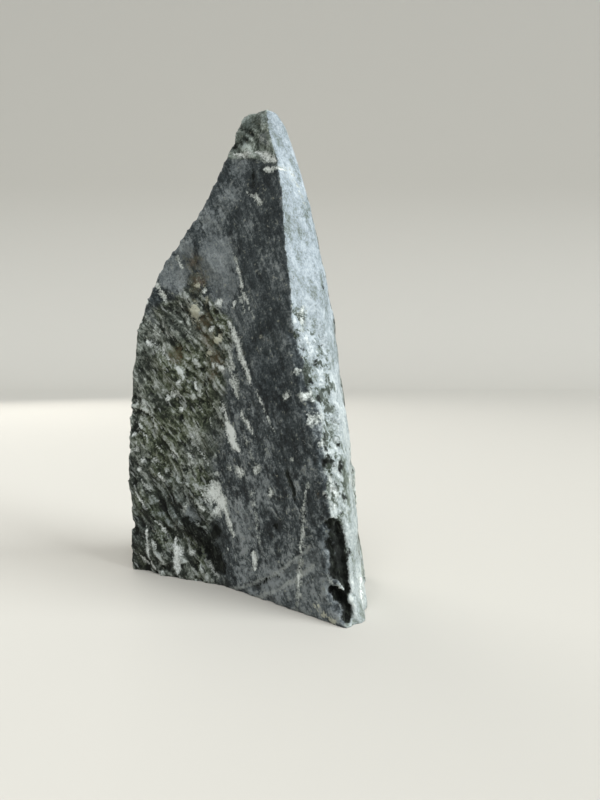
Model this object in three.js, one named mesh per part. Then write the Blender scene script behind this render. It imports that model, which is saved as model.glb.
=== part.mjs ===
/**
 * Raw soapstone: one broken, unpolished block of talc-chlorite schist that stands
 * on a sawn base and narrows to a blunt tip.
 *
 * Frame: millimetres, +Z up, the base on z = 0 and the origin at the middle of the
 * bounding box's floor. +X runs along the front, from the rough schistose side to
 * the sawn side, and +Y runs from the front to the back.
 *
 * The stone is lofted: seven long edges are drawn from the base to the tip, each
 * pair of neighbours carries one face, and each face gets the relief of its kind of
 * break (schist ledges, a sawn plane, chipped or cleaved rock). Shell-shaped chips
 * are then knocked out of the edges.
 */
import * as THREE from 'three';
import { ImprovedNoise } from 'three/addons/math/ImprovedNoise.js';

// Driving dimensions.
const HEIGHT = 201.5;
const FACET = 3.35; // side of the loft's triangles
const EDGE_CALM = 9; // relief fades out over this distance from an edge
const SEED = 11;

const STONE_GREY = 0x3b423d;

// The long edges, anticlockwise as seen from above. Each station is [z, x, y].
const TOP_STATION = HEIGHT - 1.2;
const EDGES = {
  leftFront: [
    [0, -57, 0], [22, -58.9, 1.4], [43, -61.5, 2.4], [50, -63.2, 2.8], [57, -61.6, 3.4],
    [71, -63, 4.2], [92, -61.2, 6], [113, -57.6, 8], [126, -51.4, 9.8], [140, -44.6, 11.7],
    [152, -34.4, 14], [164, -24.6, 16.4], [177, -17.2, 18.4], [189, -11.6, 20.2],
    [195, -8, 21], [TOP_STATION, -5.6, 22],
  ],
  valley: [
    [0, -7.9, 7.3], [11, -9.1, 8.3], [36, -14.8, 10.6], [53, -14.2, 11.8], [81, -12, 13.6],
    [118, -8.2, 15.8], [135, -12, 17.2], [150, -12.6, 18.4], [164, -6.3, 18.6],
    [180, -1.4, 19.4], [192, 0.8, 20.2], [TOP_STATION, 0.6, 21.8],
  ],
  ridge: [
    [0, 57.4, 0], [10, 54, 1.1], [20, 50.4, 2.2], [30, 48.4, 3.1], [44, 47, 4.3],
    [59, 44.4, 5.6], [81, 35.9, 8.1], [98, 29, 10.1], [110, 26, 11.2], [121, 25, 12.1],
    [140, 21, 13.9], [164, 17.7, 16], [177, 14.2, 17.4], [191, 8, 19], [TOP_STATION, 5.4, 21],
  ],
  sideRib: [
    [0, 60.3, 9.6], [22, 55.4, 12], [45, 50, 17], [78, 40.6, 26], [98, 35.2, 30],
    [125, 30.2, 31], [144, 25.2, 32], [170, 18.6, 31], [182, 15.6, 28], [195, 11.2, 26],
    [TOP_STATION, 7.6, 25.2],
  ],
  backRight: [
    [0, 36, 53.5], [22, 33.3, 53], [45, 31, 52], [78, 27.6, 50.6], [98, 24.9, 49.8],
    [125, 22.3, 46], [144, 19, 44], [170, 13.7, 39.6], [182, 11.4, 36], [195, 8.4, 32.4],
    [TOP_STATION, 5.6, 29.6],
  ],
  backRib: [
    [0, -6, 58], [30, -3, 57], [60, -7, 54.5], [113, -9, 49.5], [150, -4, 43], [180, 0, 36.5],
    [TOP_STATION, 1, 30.2],
  ],
  backLeft: [
    [0, -46, 43], [35, -51, 40.5], [70, -52.5, 38.5], [100, -49, 37.5], [120, -43.5, 36.6],
    [140, -35, 36.6], [164, -18.5, 35.5], [184, -9.5, 32], [TOP_STATION, -3.4, 28],
  ],
};

// The tip closes on this point.
const APEX = new THREE.Vector3(1, 25.6, HEIGHT);

// Broken plates of schist: length along the foliation, width across it, how far one
// plate stands out over the next, and how much each plate leans out over its width.
const SCHIST_PLATES = { length: 17, width: 7.5, rise: 2.6, lean: 1.9, seed: 1 };
const CLEAVED_PLATES = { length: 42, width: 15, rise: 2.6, lean: 1.9, seed: 2 };
const CHIPPED_PLATES = { length: 13, width: 9, rise: 1.7, lean: 0.9, seed: 3 };

// How abruptly one plate gives way to the next.
const PLATE_SHARPNESS = 9;

// The schist's foliation dips to the right at this angle, seen from the front.
const FOLIATION_DIP = THREE.MathUtils.degToRad(44);
// The cleaved back's plates stand much steeper.
const CLEAVAGE_DIP = THREE.MathUtils.degToRad(68);

// The sawn skin of the front ends at a step under the tip, which sets the tip back.
const STEP = { z: 181, slope: -0.5, depth: 1.1 };

const noise = new ImprovedNoise();

/** Smooth noise between -1 and 1, with lumps of the given size. */
function lumps(point, size, layer) {
  const shift = layer * 17.3;
  return noise.noise(point.x / size + shift, point.y / size, point.z / size);
}

/** The same number between 0 and 1 for the same three whole numbers. */
function hash(i, j, layer) {
  const key = i * 7919 + j * 104729 + layer * 1299709 + SEED;
  return THREE.MathUtils.seededRandom(key);
}

/**
 * How far out the rock stands on a surface broken into overlapping plates: each
 * point takes the height of the plates around it, the nearest one counting most.
 */
function plateHeight(along, across, plates) {
  const column = Math.floor(along / plates.length);
  const row = Math.floor(across / plates.width);
  let sum = 0;
  let weights = 0;
  for (let i = column - 1; i <= column + 1; i += 1) {
    for (let j = row - 1; j <= row + 1; j += 1) {
      const aside = along / plates.length - i - hash(i, j, plates.seed);
      const up = across / plates.width - j - hash(i, j, plates.seed + 10);
      const height = (hash(i, j, plates.seed + 20) - 0.5) * plates.rise - up * plates.lean;
      const weight = Math.exp(-PLATE_SHARPNESS * Math.hypot(aside, up));
      sum += weight * height;
      weights += weight;
    }
  }
  return sum / weights;
}

/** Plates whose long side dips at the given angle across a face. */
function dippingPlates(across, z, dip, plates) {
  const along = across * Math.cos(dip) - z * Math.sin(dip);
  const over = across * Math.sin(dip) + z * Math.cos(dip);
  return plateHeight(along, over, plates);
}

/** 1 above the step under the tip, 0 below it. */
function aboveStep(point) {
  const line = STEP.z + STEP.slope * point.x;
  return THREE.MathUtils.smoothstep(point.z - line, 0, FACET);
}

// The reliefs: each gives how far the rock stands out at a point of its face.
// `across` is the point's distance along the face's level run.

function schistRelief(point, across) {
  const warp = 2.5 * lumps(point, 16, 1);
  const ledges = dippingPlates(across + warp, point.z, FOLIATION_DIP, SCHIST_PLATES);
  // The upper part of the rough face is calmer than the rest.
  const calm = THREE.MathUtils.smoothstep(point.z, 118, 146);
  const step = aboveStep(point) * STEP.depth;
  return ledges * (1 - 0.6 * calm) + 1.6 * lumps(point, 30, 2) - step;
}

function sawnRelief(point) {
  const step = aboveStep(point);
  const rough = 0.9 * lumps(point, 6, 3) * step;
  return 0.35 * lumps(point, 24, 4) + rough - step * STEP.depth;
}

function chippedRelief(point, across) {
  // The side is smooth near the tip and chipped over its lower two thirds.
  const chipped = 1 - THREE.MathUtils.smoothstep(point.z, 105, 135);
  const plates = dippingPlates(across, point.z, CLEAVAGE_DIP, CHIPPED_PLATES);
  return plates * (0.15 + 0.85 * chipped) + 0.8 * lumps(point, 14, 5);
}

function cleavedRelief(point, across) {
  const warp = 4 * lumps(point, 26, 6);
  const plates = dippingPlates(across + warp, point.z, CLEAVAGE_DIP, CLEAVED_PLATES);
  const low = THREE.MathUtils.smoothstep(HEIGHT - point.z, 0, 60);
  return (plates + 2.4 * lumps(point, 34, 7)) * (0.3 + 0.7 * low);
}

// The faces, each between two neighbouring edges, with the way that it runs.
const RUN = {
  right: new THREE.Vector3(1, 0, 0),
  back: new THREE.Vector3(0, 1, 0),
  left: new THREE.Vector3(-1, 0, 0),
  front: new THREE.Vector3(0, -1, 0),
};
const FACES = [
  { from: 'leftFront', to: 'valley', run: RUN.right, relief: schistRelief },
  { from: 'valley', to: 'ridge', run: RUN.right, relief: sawnRelief },
  { from: 'ridge', to: 'sideRib', run: RUN.back, relief: chippedRelief },
  { from: 'sideRib', to: 'backRight', run: RUN.back, relief: chippedRelief },
  { from: 'backRight', to: 'backRib', run: RUN.left, relief: cleavedRelief },
  { from: 'backRib', to: 'backLeft', run: RUN.left, relief: cleavedRelief },
  { from: 'backLeft', to: 'leftFront', run: RUN.front, relief: schistRelief },
];

/** The point of an edge at a height. */
function edgePoint(name, z) {
  const stations = EDGES[name];
  let next = 1;
  while (next < stations.length - 1 && stations[next][0] < z) next += 1;
  const [z0, x0, y0] = stations[next - 1];
  const [z1, x1, y1] = stations[next];
  const share = (z - z0) / (z1 - z0);
  const { lerp } = THREE.MathUtils;
  return new THREE.Vector3(lerp(x0, x1, share), lerp(y0, y1, share), z);
}

/** One face's points at a height, from its first edge up to but without its second. */
function facePoints(face, z) {
  const start = edgePoint(face.from, z);
  const end = edgePoint(face.to, z);
  const width = start.distanceTo(end);
  const outward = new THREE.Vector3(end.y - start.y, start.x - end.x, 0).normalize();
  const steps = Math.max(1, Math.round(width / FACET));
  const points = [];
  for (let i = 0; i < steps; i += 1) {
    const point = start.clone().lerp(end, i / steps);
    const inset = Math.min(i, steps - i) * (width / steps);
    const share = THREE.MathUtils.smoothstep(inset, 0, EDGE_CALM);
    const height = face.relief(point, point.dot(face.run)) * share;
    points.push(point.addScaledVector(outward, height));
  }
  return points;
}

// Chips: shell-shaped hollows, each the mark of a ball pressed level into the stone
// and drawn out along a direction. `at` is on the surface, `out` points out of it.
const FOOT_HOLLOW_OUT = [-0.1, -1];
const NAMED_CHIPS = [
  // Two long hollows in the sawn face beside the foot of the ridge.
  { at: [49.5, 3, 30], out: FOOT_HOLLOW_OUT, along: [0.35, 0, -0.94], width: 5, depth: 2.6, stretch: 2.3 },
  { at: [53, 1.6, 11], out: FOOT_HOLLOW_OUT, along: [0.4, 0, -0.92], width: 4.5, depth: 2.4, stretch: 1.6 },
  // A smaller one further up the ridge.
  { at: [45, 5.4, 58], out: [0.6, -0.8], width: 4.5, depth: 1.4, stretch: 1.5 },
  // Spalls on the back.
  { at: [-50, 41, 62], out: [-0.7, 0.7], width: 15, depth: 4.5, stretch: 1.6 },
  { at: [34, 53, 30], out: [0.5, 0.87], width: 12, depth: 3.4, stretch: 1.8 },
  { at: [-8, 54, 88], out: [0.1, 1], width: 13, depth: 4, stretch: 2 },
  { at: [-4, 44, 146], out: [-0.2, 1], width: 11, depth: 2.4, stretch: 1.5 },
];

// Small chips along the edges, one in each equal stretch between two heights.
const EDGE_CHIPS = [
  { edge: 'ridge', count: 6, from: 56, to: 112, out: [0.6, -0.8], width: 4.5, depth: 0.9 },
  { edge: 'sideRib', count: 12, from: 12, to: 150, out: [1, 0.25], width: 6, depth: 1.2 },
  { edge: 'backRight', count: 9, from: 8, to: 170, out: [0.7, 0.7], width: 7, depth: 1.6 },
  { edge: 'backLeft', count: 9, from: 8, to: 165, out: [-0.7, 0.7], width: 7, depth: 1.8 },
  { edge: 'leftFront', count: 6, from: 6, to: 110, out: [-0.6, -0.8], width: 4.5, depth: 0.8 },
];

function spreadChips({ edge, count, from, to, out, width, depth }, layer) {
  return Array.from({ length: count }, (_, i) => {
    const size = 0.6 + 0.8 * hash(i, layer, 41);
    const z = from + ((to - from) * (i + hash(i, layer, 42))) / count;
    const at = edgePoint(edge, z).toArray();
    return { at, out, width: width * size, depth: depth * size, stretch: 1 + hash(i, layer, 43) };
  });
}

function makeChip({ at, out, along = [0, 0, 1], width, depth, stretch }) {
  const outward = new THREE.Vector3(...out, 0).normalize();
  const radius = (width * width + depth * depth) / (2 * depth);
  const centre = new THREE.Vector3(...at).addScaledVector(outward, radius - depth);
  return { centre, outward, radius, along: new THREE.Vector3(...along).normalize(), stretch };
}

const CHIPS = [...NAMED_CHIPS, ...EDGE_CHIPS.flatMap(spreadChips)].map(makeChip);

/** Pushes a point that lies inside a chip's ball level into the stone, onto the ball. */
function knockOut(point, chip) {
  const offset = point.clone().sub(chip.centre);
  const lengthwise = offset.dot(chip.along);
  offset.addScaledVector(chip.along, lengthwise / chip.stretch - lengthwise);
  const inside = chip.radius ** 2 - offset.lengthSq();
  if (inside <= 0) return;
  const height = offset.dot(chip.outward);
  point.addScaledVector(chip.outward, -height - Math.sqrt(height ** 2 + inside));
}

/** Joins two rows of one face with triangles. */
function stitch(lower, upper, triangles) {
  let i = 0;
  let j = 0;
  while (i < lower.length - 1 || j < upper.length - 1) {
    const nextLower = (i + 1) / (lower.length - 1);
    const nextUpper = (j + 1) / (upper.length - 1);
    if (nextLower <= nextUpper) {
      triangles.push(lower[i], lower[i + 1], upper[j]);
      i += 1;
    } else {
      triangles.push(lower[i], upper[j + 1], upper[j]);
      j += 1;
    }
  }
}

/** Adds one ring of the loft and returns, for each face, the indices of its row. */
function addRing(z, vertices) {
  const rows = FACES.map((face) => facePoints(face, z).map((point) => vertices.push(point) - 1));
  return rows.map((row, i) => [...row, rows[(i + 1) % rows.length][0]]);
}

function makeStone() {
  const vertices = [];
  const triangles = [];
  const rings = Math.round(TOP_STATION / (FACET * 0.87));
  let below = null;
  let base = null;
  for (let ring = 0; ring <= rings; ring += 1) {
    const rows = addRing((TOP_STATION * ring) / rings, vertices);
    if (below) rows.forEach((row, face) => stitch(below[face], row, triangles));
    base ??= rows;
    below = rows;
  }
  const apex = vertices.push(APEX) - 1;
  below.forEach((row) => stitch(row, [apex], triangles));

  vertices.forEach((point) => CHIPS.forEach((chip) => knockOut(point, chip)));

  const baseCount = base.flat().length - FACES.length;
  const outline = vertices.slice(0, baseCount).map((point) => new THREE.Vector2(point.x, point.y));
  THREE.ShapeUtils.triangulateShape(outline, []).forEach(([a, b, c]) => triangles.push(c, b, a));

  const geometry = new THREE.BufferGeometry().setFromPoints(vertices);
  geometry.setIndex(triangles);
  geometry.computeBoundingBox();
  const middle = geometry.boundingBox.getCenter(new THREE.Vector3());
  geometry.translate(-middle.x, -middle.y, 0);
  geometry.computeVertexNormals();
  return geometry;
}

const soapstone = new THREE.Mesh(
  makeStone(),
  new THREE.MeshStandardMaterial({ color: STONE_GREY, roughness: 0.62, metalness: 0, flatShading: true }),
);
soapstone.name = 'soapstone';

const part = new THREE.Group();
part.add(soapstone);

export default part;
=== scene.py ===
"""The looks of the raw soapstone: a fine mesh over the CAD stone, its material, and a plain studio.

The stone is worked out in millimetres, in the CAD's frame: +X runs along the front from the
rough schist to the sawn face, +Y from the front to the back, and +Z up from the base.
"""
import itertools
import math
import random
import types

import bmesh
import bpy
import mathutils
import numpy as np
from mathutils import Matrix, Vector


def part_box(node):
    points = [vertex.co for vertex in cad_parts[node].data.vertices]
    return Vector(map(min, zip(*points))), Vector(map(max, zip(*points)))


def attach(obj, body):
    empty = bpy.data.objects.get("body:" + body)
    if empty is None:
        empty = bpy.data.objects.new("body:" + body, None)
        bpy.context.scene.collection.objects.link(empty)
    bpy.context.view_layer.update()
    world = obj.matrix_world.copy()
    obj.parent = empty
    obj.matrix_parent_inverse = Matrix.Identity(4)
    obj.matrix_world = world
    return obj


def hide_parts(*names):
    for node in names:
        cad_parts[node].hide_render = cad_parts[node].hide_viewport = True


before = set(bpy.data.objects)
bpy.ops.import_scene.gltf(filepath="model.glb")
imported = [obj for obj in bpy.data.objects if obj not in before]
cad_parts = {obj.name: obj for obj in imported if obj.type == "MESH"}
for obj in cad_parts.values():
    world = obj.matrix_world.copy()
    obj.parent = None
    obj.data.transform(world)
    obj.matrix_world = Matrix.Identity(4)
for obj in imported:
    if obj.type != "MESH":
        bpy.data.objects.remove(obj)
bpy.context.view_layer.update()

MM = 0.001
NODE = "soapstone"
LOW, HIGH = (np.array(corner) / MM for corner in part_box(NODE))
HEIGHT = HIGH[2] - LOW[2]
VOXEL = 0.81  # side of the fine mesh's faces

# The lines that part the stone's zones, as seen from the front: [z, x] up the stone.
VALLEY = [[0, -6.7], [11, -7.9], [36, -13.6], [53, -13], [81, -10.8], [118, -7], [135, -10.8],
          [150, -11.4], [164, -5.1], [180, -0.2], [202, 2]]
RIDGE = [[0, 58.6], [10, 55.2], [20, 51.6], [30, 49.6], [44, 48.2], [59, 45.6], [81, 37.1],
         [98, 30.2], [110, 27.2], [140, 22.2], [164, 18.9], [177, 15.4], [191, 9.2], [202, 6.6]]
RIDGE_DEPTH = [[0, -28], [30, -24], [60, -21], [100, -16], [140, -12], [202, -8]]  # [z, y]
# The upper end of the broken schist left of the valley, and the foot of the knob: [x, z].
BROKEN_TOP = [[-60, 114], [-48, 118], [-38, 124], [-28, 127], [-20, 125], [-8, 115], [10, 104]]
KNOB_FOOT = [[-12, 183], [1, 180.5], [4, 179.5], [14, 175.5], [17, 172]]

# How much the side is chipped, how softly the valley parts its zones, and how far the left
# outline swells beyond the CAD stone: [z, share], [z, blur] and [z, distance].
CHIPPING = [[20, 0.55], [50, 0.8], [90, 1], [112, 0.7], [126, 0]]
VALLEY_BLUR = [[0, 7], [70, 4], [110, 2]]
LEFT_SWELL = [[0, 0.2], [85, 0.3], [100, 1.6], [125, 1.6], [150, 0.6], [180, 0.8]]
KNOB_CORNER_SWELL = 1.8  # how far the knob's left corner stands out beyond the CAD stone

PIT_DEPTH = 0.7
HOLLOW_DEPTH = 2.5
SAW_DEPTH = 0.12
# The crest levels feed painted light and shade: the material lightens crests and darkens hollows in the
# rock's tone.
CREST_ROUNDS = 14  # rounds of relaxing that give the level which crests rise from
CREST_SPREAD = 1.4  # from the lowest to the highest crest that the material tells apart


# ---------------------------------------------------------------- noise and grain


def on_line(line, value):
    """The second number of a line's points, at a value of the first."""
    values, places = np.array(line).T
    return np.interp(value, values, places)


def smoothstep(start, end, value):
    """0 as far as the start, 1 from the end on, and smooth between. The end may be the lower."""
    share = np.clip((value - start) / (end - start), 0, 1)
    return share * share * (3 - 2 * share)


def column(values):
    return values[:, None]


def unit(vectors):
    return vectors / column(np.linalg.norm(vectors, axis=1))


def lattice(cells, layer):
    """Numbers between 0 and 1, always the same for the same whole-number cells. The large
    numbers only scramble the cells' bits."""
    key = cells.astype(np.int64).astype(np.uint64)
    mixed = key[:, 0] * np.uint64(73856093) ^ key[:, 1] * np.uint64(19349663)
    mixed = mixed ^ key[:, 2] * np.uint64(83492791) ^ np.uint64(layer * 2654435761)
    for shift, factor in ((15, 2246822519), (13, 3266489917), (16, 668265263)):
        mixed = mixed & np.uint64(0xFFFFFFFF)
        mixed = (mixed ^ (mixed >> np.uint64(shift))) * np.uint64(factor)
    return (mixed & np.uint64(0xFFFFFFFF)).astype(float) / 0xFFFFFFFF


def smooth_noise(points, size, layer):
    """Noise between -1 and 1, with lumps of the given size."""
    place = points / size
    cell = np.floor(place)
    share = place - cell
    share = share * share * (3 - 2 * share)
    total = np.zeros(len(points))
    for corner in itertools.product((0, 1), repeat=3):
        weight = np.prod(np.where(corner, share, 1 - share), axis=1)
        total += weight * lattice(cell + corner, layer)
    return total * 2 - 1


def fractal_noise(points, size, layer, octaves):
    """Noise on noise: each octave has lumps half as large and half as high as the last."""
    total = np.zeros(len(points))
    for octave in range(octaves):
        total += smooth_noise(points, size / 2**octave, layer + octave) / 2**octave
    return total


def warped(points, size, reach, layer):
    """The points, pushed about so that grain made from them isn't straight."""
    shift = [fractal_noise(points, size, layer + 5 * axis, octaves=2) for axis in range(3)]
    return points + reach * np.stack(shift, axis=1)


def foliation(dip_degrees, lean_degrees):
    """Axes of a foliation whose traces dip to the right on the front: along the trace,
    into the stone within the foliation, and across the foliation."""
    dip = math.radians(dip_degrees)
    lean = math.radians(lean_degrees)
    along = np.array([math.cos(dip), 0, -math.sin(dip)])
    across = np.array([math.sin(dip) * math.cos(lean), -math.sin(lean), math.cos(dip) * math.cos(lean)])
    return np.stack([along, np.cross(across, along), across])


FOLIATION = foliation(dip_degrees=44, lean_degrees=25)
SAWN_FOLIATION = foliation(dip_degrees=64, lean_degrees=20)
SIDE_FOLIATION = foliation(dip_degrees=72, lean_degrees=35)


def plates(points, axes, size, lean, layer):
    """Rock broken into jittered plates, about -1 to 1: each stands at its own height, and
    leans out downwards. The size runs along, into and across the foliation."""
    place = points @ axes.T / size
    home = np.floor(place)
    nearest = np.full(len(points), np.inf)
    height = np.zeros(len(points))
    for step in itertools.product((-1, 0, 1), repeat=3):
        cell = home + step
        centre = cell + np.stack([lattice(cell, layer + axis) for axis in range(3)], axis=1)
        away = place - centre
        distance = np.linalg.norm(away, axis=1)
        closer = distance < nearest
        nearest[closer] = distance[closer]
        height[closer] = lattice(cell[closer], layer + 3) * 2 - 1 - lean * away[closer, 2]
    return height


def sheets(points, axes, thickness, reach, layer):
    """Schist split into thin sheets, each broken off at its own depth, from -1 to 1."""
    along, into, across = (points @ axes.T).T
    sheet = np.floor(across / thickness)
    stride = 7  # keeps the sheets' noise apart
    place = np.stack([along / reach, into / reach, sheet * stride], axis=1)
    return smooth_noise(place, size=1, layer=layer)


# ---------------------------------------------------------------- the fine mesh


class FineMesh:
    """The stone's surface as arrays, in millimetres."""

    def __init__(self, source):
        mesh = self.remeshed(source)
        count = len(mesh.vertices)
        self.mesh = mesh
        self.points = np.empty(count * 3)
        mesh.vertices.foreach_get("co", self.points)
        self.points = self.points.reshape(-1, 3) / MM
        self.edges = np.empty(len(mesh.edges) * 2, int)
        mesh.edges.foreach_get("vertices", self.edges)
        self.edges = self.edges.reshape(-1, 2)
        self.neighbours = np.bincount(self.edges.ravel(), minlength=count)

    @staticmethod
    def remeshed(source):
        """An even mesh of small quads over the source object's surface."""
        welded = bmesh.new()
        welded.from_mesh(source.data)
        bmesh.ops.remove_doubles(welded, verts=welded.verts, dist=0.001 * MM)
        mesh = bpy.data.meshes.new("stone_welded")
        welded.to_mesh(mesh)
        welded.free()
        holder = bpy.data.objects.new("stone_holder", mesh)
        bpy.context.scene.collection.objects.link(holder)
        remesh = holder.modifiers.new("even", "REMESH")
        remesh.mode = "VOXEL"
        remesh.voxel_size = VOXEL * MM
        evaluated = holder.evaluated_get(bpy.context.evaluated_depsgraph_get())
        fine = bpy.data.meshes.new_from_object(evaluated)
        bpy.data.objects.remove(holder)
        return fine

    def relaxed(self, values, rounds, share=1.0):
        """The values, each moved towards the mean of its neighbours', round after round."""
        start, end = self.edges.T
        count = len(self.points)
        values = values.copy()
        for _ in range(rounds):
            total = np.empty_like(values)
            for axis in range(values.shape[1]):
                total[:, axis] = np.bincount(start, values[end, axis], count)
                total[:, axis] += np.bincount(end, values[start, axis], count)
            mean = total / column(self.neighbours)
            values += (mean - values) * share
        return values

    def update_mesh(self):
        self.mesh.vertices.foreach_set("co", (self.points * MM).ravel())
        self.mesh.update()

    def normals(self):
        self.update_mesh()
        flat = np.empty(len(self.points) * 3)
        self.mesh.vertex_normals.foreach_get("vector", flat)
        return flat.reshape(-1, 3)


stone = FineMesh(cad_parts[NODE])
cad_points = stone.points.copy()
x, y, z = cad_points.T
cad_normals = stone.normals()
near_normals = unit(stone.relaxed(cad_normals, rounds=6))
mean_normals = stone.relaxed(cad_normals, rounds=60)
broad_normals = unit(mean_normals)

# How near an edge each point is, from 0 to 1: the normals around an edge differ.
edge = smoothstep(0.02, 0.16, 1 - np.linalg.norm(mean_normals, axis=1))

# ---------------------------------------------------------------- the zones, each from 0 to 1

ragged = fractal_noise(cad_points, size=10, layer=100, octaves=4)
facing_front = smoothstep(0.25, 0.5, -broad_normals[:, 1])
facing_back = smoothstep(0.1, 0.4, broad_normals[:, 1])
facing_left = smoothstep(0.4, 0.7, -broad_normals[:, 0])
base = smoothstep(-0.7, -0.9, broad_normals[:, 2])

# The side meets the front in a straight ridge above, and in a ragged one where it is chipped.
chip_height = on_line(CHIPPING, z)
ragged_ridge = broad_normals[:, 0] + 0.36 * ragged
towards_side = near_normals[:, 0] + chip_height * (ragged_ridge - near_normals[:, 0])
side = smoothstep(0.5, 0.62, towards_side) * (1 - smoothstep(0.3, 0.6, broad_normals[:, 1]))
behind_ridge = y - on_line(RIDGE_DEPTH, z)
chipped = side * smoothstep(0.3, 0.75, chip_height - 0.03 * behind_ridge)

# The faces that the front and the side leave, and their strip next to the side.
hidden = (1 - facing_front) * (1 - side) * (1 - base)
by_side = hidden * smoothstep(-18, -6, x - on_line(RIDGE, z))

right = smoothstep(-1, 1, (x - on_line(VALLEY, z) + 5 * ragged) / on_line(VALLEY_BLUR, z))
above = smoothstep(-2.5, 2.5, z - on_line(BROKEN_TOP, x) + 4 * ragged)
knob = smoothstep(-0.6, 0.6, z - on_line(KNOB_FOOT, x)) * (1 - side) * (1 - facing_back)
sawn = facing_front * (right + (1 - right) * above) * (1 - knob) * (1 - side)
sawn = np.maximum(sawn, base)
rough = 1 - sawn

# ---------------------------------------------------------------- the relief

# The CAD's facets are eased away where the rock is rough, and less where it was sawn.
eased = stone.relaxed(stone.points, rounds=6, share=0.6)
stone.points += column(0.4 + 0.6 * rough) * (eased - stone.points)
normals = unit(stone.relaxed(stone.normals(), rounds=3))

grain_points = warped(cad_points, size=11, reach=1.8, layer=110)
relief_strength = 0.75 + 0.45 * smooth_noise(cad_points, size=22, layer=130)

schist_relief = 0.62 * plates(grain_points, FOLIATION, size=(16, 10, 4.4), lean=0.9, layer=1)
schist_relief += 0.62 * sheets(grain_points, FOLIATION, thickness=3.2, reach=12, layer=11)
schist_relief += 0.3 * sheets(grain_points, FOLIATION, thickness=1.7, reach=4, layer=15)
schist_relief += 0.34 * plates(grain_points, FOLIATION, size=(3.8, 3.4, 1.9), lean=0.8, layer=21)
schist_relief += 0.2 * fractal_noise(grain_points, size=1.9, layer=140, octaves=2)
large_plates = plates(grain_points, FOLIATION, size=(34, 24, 9), lean=1.3, layer=31)
schist_relief += 0.7 * large_plates * hidden * (1 - edge)

side_relief = 0.9 * plates(grain_points, SIDE_FOLIATION, size=(8, 6, 4), lean=0.8, layer=61) * chipped
side_relief += 0.3 * plates(grain_points, SIDE_FOLIATION, size=(24, 18, 9), lean=1.2, layer=81)
crumbs = fractal_noise(grain_points, size=2.2, layer=160, octaves=2)
side_relief += 0.3 * crumbs * (0.45 + 0.55 * chipped)

sawn_relief = 0.14 * fractal_noise(cad_points, size=9, layer=170, octaves=3)
sawn_grain = sheets(grain_points, SAWN_FOLIATION, thickness=2.6, reach=11, layer=71)
sawn_relief += 0.12 * sawn_grain * (1 - edge)

relief = (schist_relief * (1 - side) * (1 - 0.9 * by_side) + side_relief * side) * rough
relief = relief * relief_strength * (1 - 0.6 * edge) + sawn_relief * sawn - 0.1 * rough

# Small nicks along the edges, deeper low down, where the side is chipped.
nicks = smoothstep(0.25, 0.7, fractal_noise(cad_points, size=3.4, layer=180, octaves=2))
relief -= edge * nicks * (0.35 + 0.8 * smoothstep(130, 90, z))


# ---------------------------------------------------------------- marks


def blob(places, centre, radius):
    """1 at the centre of a round mark, 0 at its radius and beyond."""
    distance = np.linalg.norm(places - centre, axis=1)
    return 1 - smoothstep(0, 1, distance / radius)


def lens(places, start, end, half_width):
    """1 along the middle of a lens between two places, 0 at its rim."""
    run = np.subtract(end, start)
    length = np.linalg.norm(run)
    run = run / length
    offset = places - start
    along = offset @ run / length
    across = np.abs(offset @ np.array([-run[1], run[0]]))
    width = half_width * np.sqrt(np.clip(4 * along * (1 - along), 0, 1))
    least_width = 1e-3  # keeps the share finite at the lens's ends
    return np.clip(1 - across / np.maximum(width, least_width), 0, 1) * (width > 0)


def marks(places, lenses=(), blobs=()):
    """The strongest of the marks at each place. A lens has its start, end, half width and
    strength, and a blob its centre, radius and strength."""
    total = np.zeros(len(places))
    for start, end, half_width, strength in lenses:
        total = np.maximum(total, strength * lens(places, start, end, half_width))
    for centre, radius, strength in blobs:
        total = np.maximum(total, strength * blob(places, centre, radius))
    return total


def scattered_veins(count, seed, across, dip_degrees, length, half_width):
    """Veins strewn over a face, each roughly along the foliation's trace on it. The face
    reaches from one number to the other across, and all the way up the stone."""
    draw = random.Random(seed)
    dip_spread = 5  # degrees
    veins = []
    for _ in range(count):
        start = (draw.uniform(*across), draw.uniform(0, HEIGHT))
        dip = math.radians(draw.gauss(dip_degrees, dip_spread))
        reach = length * draw.uniform(0.4, 1.6)
        end = (start[0] + reach * math.cos(dip), start[1] - reach * math.sin(dip))
        veins.append((start, end, half_width * draw.uniform(0.5, 1.6), draw.uniform(0.5, 1.2)))
    return veins


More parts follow.
